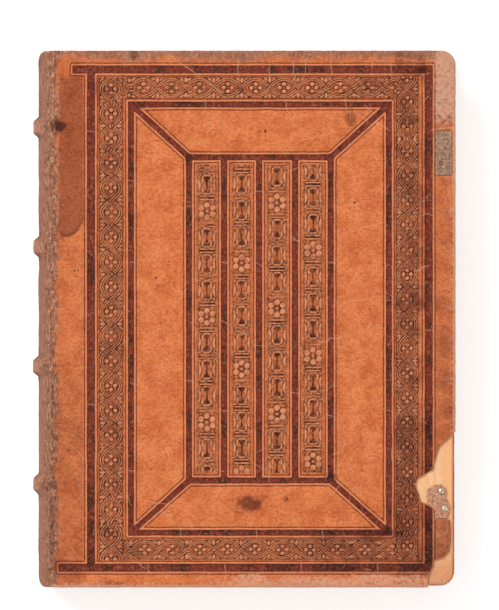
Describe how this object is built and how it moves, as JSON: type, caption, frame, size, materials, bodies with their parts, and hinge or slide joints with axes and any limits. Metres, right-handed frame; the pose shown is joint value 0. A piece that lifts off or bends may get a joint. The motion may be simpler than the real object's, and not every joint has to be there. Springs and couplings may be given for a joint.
{
  "type": "antique leather book",
  "caption": "Large old book with wooden boards in tooled brown leather, raised bands on its spine, worn strap plates, and covers that swing open at their joints.",
  "frame": {"origin": "middle of the underside of the closed book, on the surface it lies on", "axes": "+X towards the fore-edge, +Y towards the head, +Z towards the front cover, which faces up"},
  "size_m": [0.2482, 0.315, 0.0647],
  "materials": {
    "leather": "worn brown calf, blind tooled, satin with darker burnished lines",
    "board_wood": "bare aged wood, matt, pale tan",
    "paper": "aged rag paper, matt",
    "hide_thong": "undyed hide, matt",
    "lining_cloth": "coarse natural cloth",
    "endband_thread": "thread wound over a core",
    "strap_metal": "tarnished and corroded"
  },
  "bodies": {
    "book_block": {"text_block": "paper", "endband_head": "endband_thread", "endband_tail": "endband_thread", "spine_leather": "leather", "spine_lining_1": "lining_cloth", "spine_lining_2": "lining_cloth", "spine_lining_3": "lining_cloth", "spine_lining_4": "lining_cloth", "spine_lining_5": "lining_cloth", "spine_thong_1": "hide_thong", "spine_thong_2": "hide_thong", "spine_thong_3": "hide_thong", "spine_thong_4": "hide_thong"},
    "front_cover": {"front_board": "board_wood", "front_cover_leather": "leather", "front_pastedown": "paper", "front_slip_1": "hide_thong", "front_slip_2": "hide_thong", "front_slip_3": "hide_thong", "front_slip_4": "hide_thong", "front_peg_1": "board_wood", "front_peg_2": "board_wood", "front_peg_3": "board_wood", "front_peg_4": "board_wood", "strap_plate_head": "strap_metal", "strap_plate_tail": "strap_metal", "strap_nail_1": "strap_metal", "strap_nail_2": "strap_metal"},
    "back_cover": {"back_board": "board_wood", "back_cover_leather": "leather", "back_pastedown": "paper", "back_slip_1": "hide_thong", "back_slip_2": "hide_thong", "back_slip_3": "hide_thong", "back_slip_4": "hide_thong", "back_peg_1": "board_wood", "back_peg_2": "board_wood", "back_peg_3": "board_wood", "back_peg_4": "board_wood"}
  },
  "joints": [
    {"name": "front_cover_hinge", "type": "hinge", "parent": "book_block", "child": "front_cover", "pos_m": [-0.11048, 0, 0.0632], "axis": [0, -1, 0], "range_deg": [0, 165]},
    {"name": "back_cover_hinge", "type": "hinge", "parent": "book_block", "child": "back_cover", "pos_m": [-0.11048, 0, 0], "axis": [0, 1, 0], "range_deg": [0, 165]}
  ]
}
